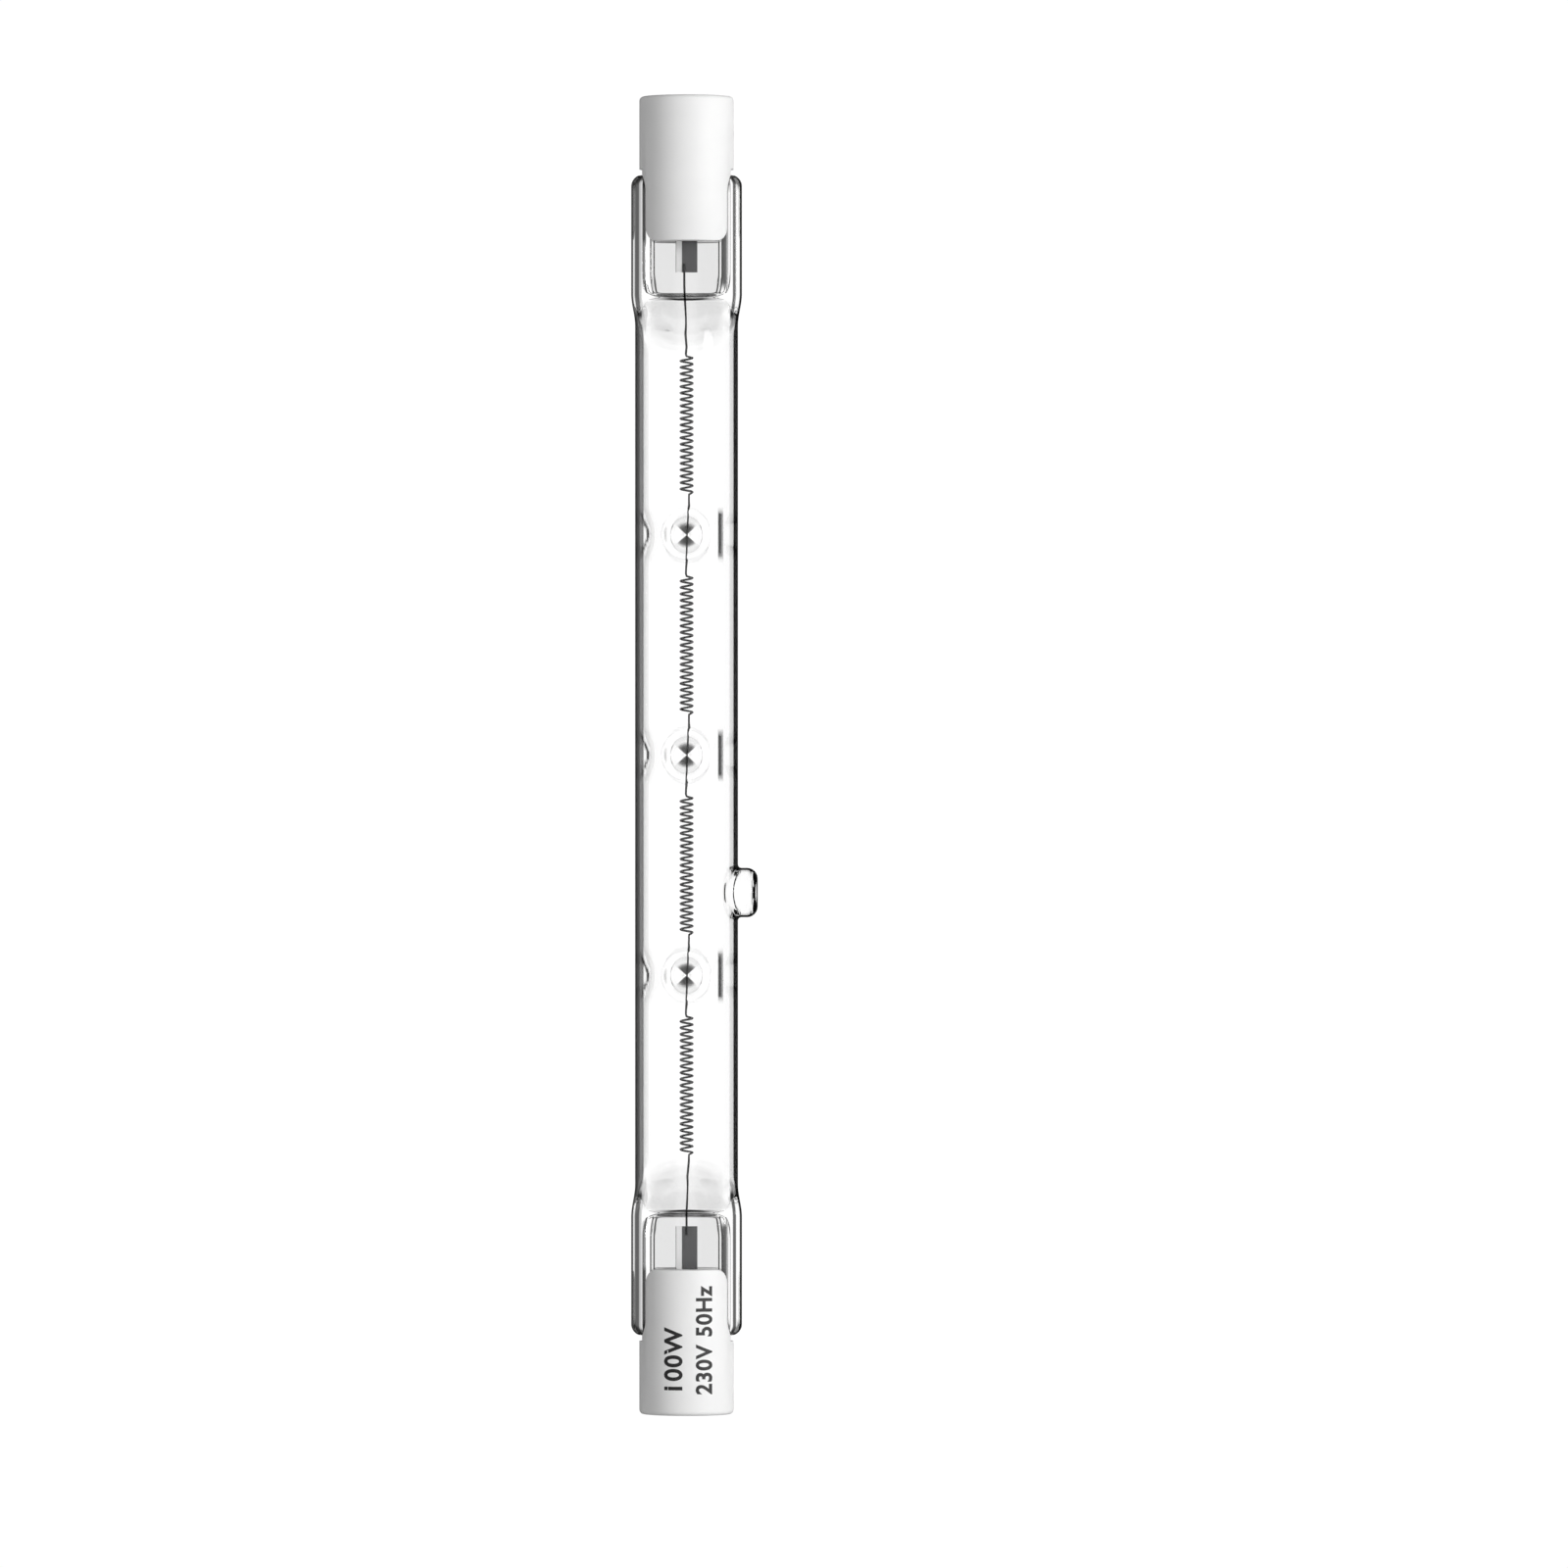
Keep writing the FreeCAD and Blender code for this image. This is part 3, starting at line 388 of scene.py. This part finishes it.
def make_quartz(name, left, right, bands, steps):
    """Clear glass with painted shade: it darkens at a glancing view, by one ramp left of the lamp's
    middle and by another right of it. The bands paint shade across the pinch, the steps round the
    web."""
    quartz = bpy.data.materials.new(name)
    quartz.use_nodes = True
    nodes, links = quartz.node_tree.nodes, quartz.node_tree.links
    shader = nodes["Principled BSDF"]
    shader.inputs["Roughness"].default_value = 0
    shader.inputs["IOR"].default_value = 1.46
    shader.inputs["Transmission Weight"].default_value = 1
    shader.inputs["Specular Tint"].default_value = (0.3, 0.3, 0.3, 1)
    facing = nodes.new("ShaderNodeLayerWeight")
    facing.inputs["Blend"].default_value = 0.5
    place = nodes.new("ShaderNodeTexCoord")
    level = nodes.new("ShaderNodeMapping")
    level.inputs["Rotation"].default_value = LYING
    across = nodes.new("ShaderNodeSeparateXYZ")
    side = nodes.new("ShaderNodeMapRange")
    side.inputs["From Min"].default_value = -MM
    side.inputs["From Max"].default_value = MM
    links.new(place.outputs["Object"], level.inputs["Vector"])
    links.new(level.outputs["Vector"], across.inputs["Vector"])
    links.new(across.outputs["X"], side.inputs["Value"])
    away = nodes.new("ShaderNodeMath")
    away.operation = "ABSOLUTE"
    pinched = nodes.new("ShaderNodeMapRange")
    pinched.inputs["From Min"].default_value = 38.2 * MM
    pinched.inputs["From Max"].default_value = 39.2 * MM
    links.new(across.outputs["Y"], away.inputs[0])
    links.new(away.outputs["Value"], pinched.inputs["Value"])
    painted_shade_data = nodes.new("ShaderNodeAttribute")
    painted_shade_data.attribute_name = "painted_shade_data"
    parts = nodes.new("ShaderNodeSeparateColor")
    links.new(painted_shade_data.outputs["Color"], parts.inputs["Color"])
    ramps = [add_ramp(nodes, stops) for stops in (left, right)]
    ramps += [add_ramp(nodes, bands, -5, 5), add_ramp(nodes, steps, -0.5, 1.5)]
    turned = facing.outputs["Facing"]
    values = (turned, turned, parts.outputs["Green"], parts.outputs["Blue"])
    for ramp, value in zip(ramps, values):
        links.new(value, ramp.inputs["Fac"])
    # painted shade: the glancing ramps, the bands, the steps and the stored marks multiply the
    # colour
    mixes = []
    for blend in ("MIX", "MIX", "MULTIPLY", "MULTIPLY", "MULTIPLY"):
        mix = nodes.new("ShaderNodeMix")
        mix.data_type = "RGBA"
        mix.blend_type = blend
        mix.inputs["Factor"].default_value = 1
        mix.inputs["A"].default_value = (1, 1, 1, 1)
        mixes.append(mix)
    tint, rim, banded, stepped, with_painted_shade = mixes
    links.new(side.outputs["Result"], tint.inputs["Factor"])
    links.new(ramps[0].outputs["Color"], tint.inputs["A"])
    links.new(ramps[1].outputs["Color"], tint.inputs["B"])
    links.new(parts.outputs["Red"], rim.inputs["Factor"])
    links.new(tint.outputs["Result"], rim.inputs["B"])
    links.new(pinched.outputs["Result"], banded.inputs["Factor"])
    links.new(rim.outputs["Result"], banded.inputs["A"])
    links.new(ramps[2].outputs["Color"], banded.inputs["B"])
    links.new(banded.outputs["Result"], stepped.inputs["A"])
    links.new(ramps[3].outputs["Color"], stepped.inputs["B"])
    links.new(stepped.outputs["Result"], with_painted_shade.inputs["A"])
    links.new(painted_shade_data.outputs["Alpha"], with_painted_shade.inputs["B"])
    links.new(with_painted_shade.outputs["Result"], shader.inputs["Base Color"])
    clear = nodes.new("ShaderNodeBsdfTransparent")
    path = nodes.new("ShaderNodeLightPath")
    through = nodes.new("ShaderNodeMath")
    through.operation = "MAXIMUM"
    mixed = nodes.new("ShaderNodeMixShader")
    links.new(path.outputs["Is Shadow Ray"], through.inputs[0])
    links.new(path.outputs["Is Diffuse Ray"], through.inputs[1])
    links.new(through.outputs["Value"], mixed.inputs["Fac"])
    links.new(shader.outputs["BSDF"], mixed.inputs[1])
    links.new(clear.outputs["BSDF"], mixed.inputs[2])
    links.new(mixed.outputs["Shader"], nodes["Material Output"].inputs["Surface"])
    return quartz


# painted shade for the glass: glancing ramps, darker on the left where less light falls, and bands
outside_left = [(0.44, 1), (0.47, 0.04), (0.57, 0.015), (0.6, 0.0005)]
outside_right = [(0.44, 1), (0.47, 0.62), (0.57, 0.5), (0.6, 0.0005)]
inside_left = [(0.5, 1), (0.55, 0.72), (0.8, 0.36)]
all_clear = [(0.01, 1)]
pinch_bands = [(-4.97, 1), (-4.955, 0.001), (-4.775, 0.001), (-4.73, 0.85), (-4.66, 0.85)]
pinch_bands += [(-4.6, 0.02), (-4.25, 0.03), (-4.17, 0.5), (-4.0, 0.5), (-3.94, 1)]
pinch_bands += [(4.1, 1), (4.15, 0.02), (4.41, 0.02), (4.46, 1), (4.72, 1), (4.765, 0.001)]
web_bands = [(-0.06, 0.78), (-0.02, 0.03), (0.07, 0.03), (0.11, 0.85), (0.23, 0.85), (0.27, 0.03)]
web_bands += [(0.36, 0.03), (0.41, 1)]
store_painted_shade(glass)
store_painted_shade(bore)
outside = make_quartz("clear quartz", outside_left, outside_right, pinch_bands, web_bands)
glass.data.materials.append(outside)
inside = make_quartz("clear quartz inside", inside_left, all_clear, all_clear, all_clear)
bore.data.materials.append(inside)
bpy.ops.object.select_all(action="DESELECT")
bore.select_set(True)
glass.select_set(True)
bpy.context.view_layer.objects.active = glass
bpy.ops.object.join()
bpy.ops.object.shade_smooth()
lay_down(glass)
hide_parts("glass_envelope")
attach(glass, "root")

# Filament: one drawn tungsten wire, wound in four coils. The straight stretches run through the
# dimples, which hold them on the axis, and the ends are sealed in the glass with the foils.
# Its grain, two tones in fine spots, is also what the contacts, the cement and the print have.
WIRE_R, COIL_R = 0.1, 0.535
COIL_LENGTH, COIL_TURNS, COIL_SPACING = 12.0, 21, 19.65
LEG_HEIGHT = -0.141
PER_TURN = 20
route = [(-0.2, 43.9, LEG_HEIGHT), (-0.2, 42.0, LEG_HEIGHT), (-0.15, 40.4, LEG_HEIGHT)]
for i in range(4):
    middle = (1.5 - i) * COIL_SPACING
    top = middle + COIL_LENGTH / 2
    pitch = COIL_LENGTH / COIL_TURNS
    route += [(0, top + 1.5, 0), (-0.06, top + 0.4, 0)]
    route += [(0, top + 0.16, 0), (0.25, top + 0.08, 0.02)]
    for k in range(COIL_TURNS * PER_TURN + 1):
        turn = -2 * math.pi * k / PER_TURN
        route.append((COIL_R * math.cos(turn), top - pitch * k / PER_TURN, COIL_R * math.sin(turn)))
    bottom = middle - COIL_LENGTH / 2
    route += [(0.4, bottom - 0.1, -0.05), (0.22, bottom - 0.2, 0), (0.2, bottom - 1.2, 0)]
route += [(0, -40.4, LEG_HEIGHT), (0, -42.0, LEG_HEIGHT), (0, -42.85, LEG_HEIGHT)]
bpy.ops.object.select_all(action="DESELECT")
bpy.ops.curve.primitive_nurbs_path_add()
filament = bpy.context.object
filament.name = "tungsten_filament"
curve = filament.data
curve.splines.clear()
spline = curve.splines.new("POLY")
spline.points.add(len(route) - 1)
for point, place in zip(spline.points, route):
    point.co = (*(Vector(place) * MM), 1)
curve.bevel_depth = WIRE_R * MM
curve.bevel_resolution = 2
curve.use_fill_caps = True
bpy.ops.object.convert(target="MESH")
bpy.ops.object.shade_smooth()


def make_grained(name, scale, dark, light, roughness, metallic=0):
    """A surface in two tones, spread over it in fine spots."""
    material = bpy.data.materials.new(name)
    material.use_nodes = True
    nodes, links = material.node_tree.nodes, material.node_tree.links
    shader = nodes["Principled BSDF"]
    shader.inputs["Metallic"].default_value = metallic
    shader.inputs["Roughness"].default_value = roughness
    place = nodes.new("ShaderNodeTexCoord")
    grain = nodes.new("ShaderNodeTexNoise")
    grain.inputs["Scale"].default_value = scale
    tone = nodes.new("ShaderNodeValToRGB")
    tone.color_ramp.elements[0].color = (*dark, 1)
    tone.color_ramp.elements[1].color = (*light, 1)
    links.new(place.outputs["Object"], grain.inputs["Vector"])
    links.new(grain.outputs["Fac"], tone.inputs["Fac"])
    links.new(tone.outputs["Color"], shader.inputs["Base Color"])
    return material


dull, sheen = (0.01, 0.01, 0.01), (0.035, 0.035, 0.036)
tungsten = make_grained("drawn tungsten", 4000, dull, sheen, 0.45, metallic=1)
filament.data.materials.append(tungsten)
lay_down(filament)
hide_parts("filament")
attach(filament, "root")

# Foils and outer leads: rolled and drawn molybdenum. The foils are thin enough for the quartz to
# seal on them, and the leads are welded to their outer ends.
molybdenum = bpy.data.materials.new("rolled molybdenum")
molybdenum.use_nodes = True
nodes, links = molybdenum.node_tree.nodes, molybdenum.node_tree.links
shader = nodes["Principled BSDF"]
shader.inputs["Metallic"].default_value = 0.6
shader.inputs["Roughness"].default_value = 0.5
# painted light: a light strip along one edge of each foil is a painted glint, with a painted dark
# line outside it
place = nodes.new("ShaderNodeTexCoord")
level = nodes.new("ShaderNodeMapping")
level.inputs["Rotation"].default_value = LYING
across = nodes.new("ShaderNodeSeparateXYZ")
painted_glint_strip = nodes.new("ShaderNodeMapRange")
painted_glint_strip.inputs["From Min"].default_value = -0.00044
painted_glint_strip.inputs["From Max"].default_value = -0.00040
tone = nodes.new("ShaderNodeValToRGB")
tone.color_ramp.elements[0].color = (0.72, 0.72, 0.72, 1)
tone.color_ramp.elements[1].color = (0.08, 0.08, 0.082, 1)
links.new(place.outputs["Object"], level.inputs["Vector"])
links.new(level.outputs["Vector"], across.inputs["Vector"])
links.new(across.outputs["X"], painted_glint_strip.inputs["Value"])
links.new(painted_glint_strip.outputs["Result"], tone.inputs["Fac"])
rim = nodes.new("ShaderNodeMapRange")
rim.inputs["From Min"].default_value = -0.00093
rim.inputs["From Max"].default_value = -0.0009
edged = nodes.new("ShaderNodeMix")
edged.data_type = "RGBA"
edged.inputs["A"].default_value = (0.04, 0.04, 0.04, 1)
links.new(across.outputs["X"], rim.inputs["Value"])
links.new(rim.outputs["Result"], edged.inputs["Factor"])
links.new(tone.outputs["Color"], edged.inputs["B"])
links.new(edged.outputs["Result"], shader.inputs["Base Color"])
for name in ("molybdenum_foil_a", "molybdenum_foil_b", "outer_lead_a", "outer_lead_b"):
    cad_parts[name].data.materials.clear()
    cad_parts[name].data.materials.append(molybdenum)

# Ceramic caps: pressed and fired white ceramic. The round end carries the recessed contact, and its
# two tongues lie on the pinch, where cement holds them.
CAP_R, CAP_END, TONGUE_END, SLOT_END = 4.215, 58.8, 45.85, 52.29
TONGUE_HALF = 3.63


def cap_half_width(y):
    """Half width of the cap in plan, y from the lamp's middle."""
    if y > SLOT_END:
        return CAP_R + 0.5
    rounding = 0.26 * (1 - arc(1 - (SLOT_END - y) / 0.5))
    width = CAP_R - 0.26 + (0.26 - rounding if y > SLOT_END - 0.5 else 0)
    if y < SLOT_END - 0.5:
        width = TONGUE_HALF + 0.33 * max(1 - (SLOT_END - 0.5 - y) / 1.7, 0) ** 2
    return width - 0.9 * (1 - arc((TONGUE_END + 1.2 - y) / 1.2))


def make_block(name, size, place):
    """Adds a block to cut with, sizes and place in millimetres."""
    bpy.ops.object.select_all(action="DESELECT")
    bpy.ops.mesh.primitive_cube_add(size=1, location=Vector(place) * MM, scale=Vector(size) * MM)
    bpy.context.object.name = name
    return bpy.context.object


def make_disc(name, radius, start, end, vertices):
    """Adds a round bar along the lamp to cut with."""
    bpy.ops.object.select_all(action="DESELECT")
    bpy.ops.mesh.primitive_cylinder_add(
        vertices=vertices,
        radius=radius * MM,
        depth=(end - start) * MM,
        location=(0, (start + end) / 2 * MM, 0),
        rotation=(math.pi / 2, 0, 0),
    )
    bpy.ops.object.transform_apply(location=True, rotation=True, scale=True)
    bpy.context.object.name = name
    return bpy.context.object


def carve(piece, tool, operation):
    """Combines a piece with a cutting shape and removes the shape."""
    bpy.ops.object.select_all(action="DESELECT")
    piece.select_set(True)
    bpy.context.view_layer.objects.active = piece
    cutter = piece.modifiers.new("cut", "BOOLEAN")
    cutter.operation = operation
    cutter.object = tool
    cutter.solver = "EXACT"
    bpy.ops.object.modifier_apply(modifier=cutter.name)
    bpy.data.objects.remove(tool)


def make_plan():
    """Makes the cap's outline in plan, as a plate that is higher than the cap."""
    marks = [TONGUE_END + 1.2 * (1 - math.cos(math.radians(15 * i))) for i in range(7)]
    marks += [SLOT_END - 2.2 + 0.17 * i for i in range(11)]
    marks += [SLOT_END - 0.5 + 0.1 * i for i in range(5)]
    marks += [SLOT_END - 0.01, SLOT_END + 0.01, CAP_END + 1]
    bpy.ops.object.select_all(action="DESELECT")
    bpy.ops.mesh.primitive_grid_add(x_subdivisions=1, y_subdivisions=len(marks) - 1, size=1)
    plate = bpy.context.object
    for vertex in plate.data.vertices:
        y = marks[round((vertex.co.y + 0.5) * (len(marks) - 1))]
        vertex.co = Vector((math.copysign(cap_half_width(y), vertex.co.x), y, -6)) * MM
    bpy.ops.object.mode_set(mode="EDIT")
    bpy.ops.mesh.select_all(action="SELECT")
    bpy.ops.mesh.extrude_region_move(TRANSFORM_OT_translate={"value": (0, 0, 12 * MM)})
    bpy.ops.mesh.select_all(action="SELECT")
    bpy.ops.mesh.normals_make_consistent(inside=False)
    bpy.ops.object.mode_set(mode="OBJECT")
    return plate


cap = make_disc("cap", CAP_R, TONGUE_END, CAP_END, 128)
bpy.ops.object.mode_set(mode="EDIT")
bpy.ops.mesh.select_mode(type="EDGE")
bpy.ops.mesh.select_all(action="DESELECT")
rim = bmesh.from_edit_mesh(cap.data)
for line in rim.edges:
    line.select = all(v.co.y > (CAP_END - 0.01) * MM for v in line.verts)
bmesh.update_edit_mesh(cap.data)
bpy.ops.mesh.bevel(offset=0.4 * MM, segments=5, affect="EDGES")
bpy.ops.object.mode_set(mode="OBJECT")
carve(cap, make_plan(), "INTERSECT")
carve(cap, make_block("rail_slot", (12, 10, 2.9), (0, SLOT_END - 5, 0)), "DIFFERENCE")
RECESS_R, RECESS_DEPTH, SEAT_R, SEAT_DEPTH = 2.2, 1.7, 1.9, 2.5
carve(cap, make_disc("recess", RECESS_R, CAP_END - RECESS_DEPTH, CAP_END + 1, 64), "DIFFERENCE")
carve(cap, make_disc("button_seat", SEAT_R, CAP_END - SEAT_DEPTH, CAP_END, 64), "DIFFERENCE")
soften = cap.modifiers.new("edges", "BEVEL")
soften.width = 0.08 * MM
soften.segments = 2
soften.limit_method = "ANGLE"
soften.angle_limit = math.radians(40)
bpy.ops.object.modifier_apply(modifier=soften.name)
bpy.ops.object.shade_smooth_by_angle(angle=math.radians(40))

ceramic = bpy.data.materials.new("fired ceramic")
ceramic.use_nodes = True
nodes, links = ceramic.node_tree.nodes, ceramic.node_tree.links
shader = nodes["Principled BSDF"]
place = nodes.new("ShaderNodeTexCoord")
cloud = nodes.new("ShaderNodeTexNoise")
cloud.inputs["Scale"].default_value = 350
cloud.inputs["Detail"].default_value = 4
tone = nodes.new("ShaderNodeValToRGB")
tone.color_ramp.elements[0].color = (0.86, 0.86, 0.86, 1)
tone.color_ramp.elements[1].color = (0.93, 0.93, 0.925, 1)
gloss = nodes.new("ShaderNodeMapRange")
gloss.inputs["To Min"].default_value = 0.5
gloss.inputs["To Max"].default_value = 0.62
pores = nodes.new("ShaderNodeTexNoise")
pores.inputs["Scale"].default_value = 6000
bump = nodes.new("ShaderNodeBump")
bump.inputs["Strength"].default_value = 0.05
bump.inputs["Distance"].default_value = 0.00002
links.new(place.outputs["Object"], cloud.inputs["Vector"])
links.new(place.outputs["Object"], pores.inputs["Vector"])
links.new(cloud.outputs["Fac"], tone.inputs["Fac"])
links.new(cloud.outputs["Fac"], gloss.inputs["Value"])
links.new(tone.outputs["Color"], shader.inputs["Base Color"])
links.new(gloss.outputs["Result"], shader.inputs["Roughness"])
links.new(pores.outputs["Fac"], bump.inputs["Height"])
links.new(bump.outputs["Normal"], shader.inputs["Normal"])
cap.data.materials.clear()
cap.data.materials.append(ceramic)

cap_a = cap
cap_a.name = "cap_a"
bpy.ops.object.select_all(action="DESELECT")
cap_a.select_set(True)
bpy.context.view_layer.objects.active = cap_a
bpy.ops.object.duplicate()
cap_b = bpy.context.object
cap_b.name = "cap_b"
bpy.ops.transform.rotate(value=math.pi, orient_axis="Z", center_override=(0, 0, 0))
bpy.ops.object.transform_apply(location=True, rotation=True, scale=True)
for piece, node in ((cap_a, "ceramic_cap_a"), (cap_b, "ceramic_cap_b")):
    lay_down(piece)
    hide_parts(node)
    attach(piece, "root")

# Contacts and cement: pressed metal buttons at the bottom of the recesses, and the white cement
# that is squeezed between the tongues and the glass.
scratched, polished = (0.5, 0.49, 0.46), (0.72, 0.71, 0.68)
contact_metal = make_grained("bright contact metal", 2500, scratched, polished, 0.3, metallic=1)
cement = make_grained("ceramic cement", 3000, (0.7, 0.69, 0.66), (0.86, 0.85, 0.82), 0.9)
for end in "ab":
    for name, finish in (("contact_button_", contact_metal), ("cement_", cement)):
        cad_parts[name + end].data.materials.clear()
        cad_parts[name + end].data.materials.append(finish)

# Rating: two short rows of black print on the round of one cap, stamped on along the lamp.
ink = make_grained("black print", 5000, (0.002, 0.002, 0.002), (0.008, 0.008, 0.008), 0.5)
for row, (words, x, size) in enumerate((("100W", -0.4, 2.2), ("230V 50Hz", 2.25, 1.95)), start=1):
    bpy.ops.object.select_all(action="DESELECT")
    bpy.ops.object.text_add(rotation=(0, 0, math.pi / 2), location=(x * MM, -56.9 * MM, 0))
    print_row = bpy.context.object
    print_row.name = f"rating_row_{row}"
    print_row.data.body = words
    print_row.data.size = size * MM
    print_row.data.offset = 0.055 * MM
    print_row.data.space_character = 1.1
    bpy.ops.object.convert(target="MESH")
    bpy.ops.object.transform_apply(location=True, rotation=True, scale=True)
    bpy.ops.object.mode_set(mode="EDIT")
    bpy.ops.mesh.select_all(action="SELECT")
    bpy.ops.mesh.subdivide(number_cuts=2)
    bpy.ops.object.mode_set(mode="OBJECT")
    for vertex in print_row.data.vertices:
        vertex.co.z = math.sqrt((CAP_R * MM) ** 2 - vertex.co.x**2) + 0.01 * MM
    print_row.data.materials.append(ink)
    lay_down(print_row)
    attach(print_row, "root")

# Floor: a surface, which the lamp lies on. It shines white towards the camera and through the
# glass, so that it shows no shadow, but reflections see painted shade on it next to the lamp.
floor_height = cad_box[0].z
bpy.ops.object.select_all(action="DESELECT")
bpy.ops.mesh.primitive_plane_add(size=6, location=(0, 0, floor_height))
floor = bpy.context.object
floor.name = "floor"
white = bpy.data.materials.new("white floor")
white.use_nodes = True
nodes, links = white.node_tree.nodes, white.node_tree.links
shader = nodes["Principled BSDF"]
shader.inputs["Base Color"].default_value = (0.92, 0.92, 0.92, 1)
shader.inputs["Roughness"].default_value = 0.9
glow = nodes.new("ShaderNodeEmission")
glow.inputs["Color"].default_value = (1.06, 1.06, 1.06, 1)
path = nodes.new("ShaderNodeLightPath")
place = nodes.new("ShaderNodeTexCoord")
# painted shade: to reflections the floor is dark within 12 mm of the lamp's line and white from 40
# mm
across = nodes.new("ShaderNodeSeparateXYZ")
apart = nodes.new("ShaderNodeMath")
apart.operation = "ABSOLUTE"
beyond = nodes.new("ShaderNodeMapRange")
beyond.inputs["From Min"].default_value = 0.012
beyond.inputs["From Max"].default_value = 0.04
seen = nodes.new("ShaderNodeMath")
seen.operation = "MAXIMUM"
bright = nodes.new("ShaderNodeMath")
bright.operation = "MAXIMUM"
lit = nodes.new("ShaderNodeMath")
lit.operation = "MAXIMUM"
share = nodes.new("ShaderNodeMath")
share.operation = "MULTIPLY"
share.inputs[1].default_value = 0.93
mixed = nodes.new("ShaderNodeMixShader")
links.new(place.outputs["Object"], across.inputs["Vector"])
links.new(across.outputs["X"], apart.inputs[0])
links.new(apart.outputs["Value"], beyond.inputs["Value"])
links.new(path.outputs["Is Camera Ray"], seen.inputs[0])
links.new(path.outputs["Is Transmission Ray"], seen.inputs[1])
links.new(seen.outputs["Value"], bright.inputs[0])
links.new(beyond.outputs["Result"], bright.inputs[1])
links.new(bright.outputs["Value"], glow.inputs["Strength"])
links.new(seen.outputs["Value"], lit.inputs[0])
links.new(path.outputs["Is Glossy Ray"], lit.inputs[1])
links.new(lit.outputs["Value"], share.inputs[0])
links.new(share.outputs["Value"], mixed.inputs["Fac"])
links.new(shader.outputs["BSDF"], mixed.inputs[1])
links.new(glow.outputs["Emission"], mixed.inputs[2])
links.new(mixed.outputs["Shader"], nodes["Material Output"].inputs["Surface"])
floor.data.materials.append(white)

# Light: a soft key lamp low on the right, a weak one from the camera's side and a pale room that is
# darker low down, which draws the dark edges of the glass.
for name, place, size, power in (
    ("key_light", (-0.74, -0.1, 0.16), 0.3, 3.7),
    ("fill_light", (-0.33, 0, 0.62), 0.4, 0.8),
):
    bpy.ops.object.light_add(type="AREA", location=place)
    light = bpy.context.object
    light.name = name
    light.data.size = size
    light.data.energy = power
    light.rotation_euler = (-Vector(place)).to_track_quat("-Z", "Y").to_euler()
    light.visible_camera = False
room = bpy.data.worlds.new("room")
bpy.context.scene.world = room
room.use_nodes = True
nodes, links = room.node_tree.nodes, room.node_tree.links
sky = nodes["Background"]
place = nodes.new("ShaderNodeTexCoord")
up = nodes.new("ShaderNodeSeparateXYZ")
shade = nodes.new("ShaderNodeValToRGB")
shade.color_ramp.elements[0].position = 0.25
shade.color_ramp.elements[0].color = (0.02, 0.02, 0.02, 1)
shade.color_ramp.elements[1].position = 0.75
shade.color_ramp.elements[1].color = (0.45, 0.45, 0.45, 1)
path = nodes.new("ShaderNodeLightPath")
bright = nodes.new("ShaderNodeMath")
bright.operation = "MAXIMUM"
seen = nodes.new("ShaderNodeMix")
seen.data_type = "RGBA"
seen.inputs["B"].default_value = (1, 1, 1, 1)
links.new(place.outputs["Generated"], up.inputs["Vector"])
links.new(up.outputs["Z"], shade.inputs["Fac"])
links.new(path.outputs["Is Camera Ray"], bright.inputs[0])
links.new(path.outputs["Is Transmission Ray"], bright.inputs[1])
links.new(bright.outputs["Value"], seen.inputs["Factor"])
links.new(shade.outputs["Color"], seen.inputs["A"])
links.new(seen.outputs["Result"], sky.inputs["Color"])
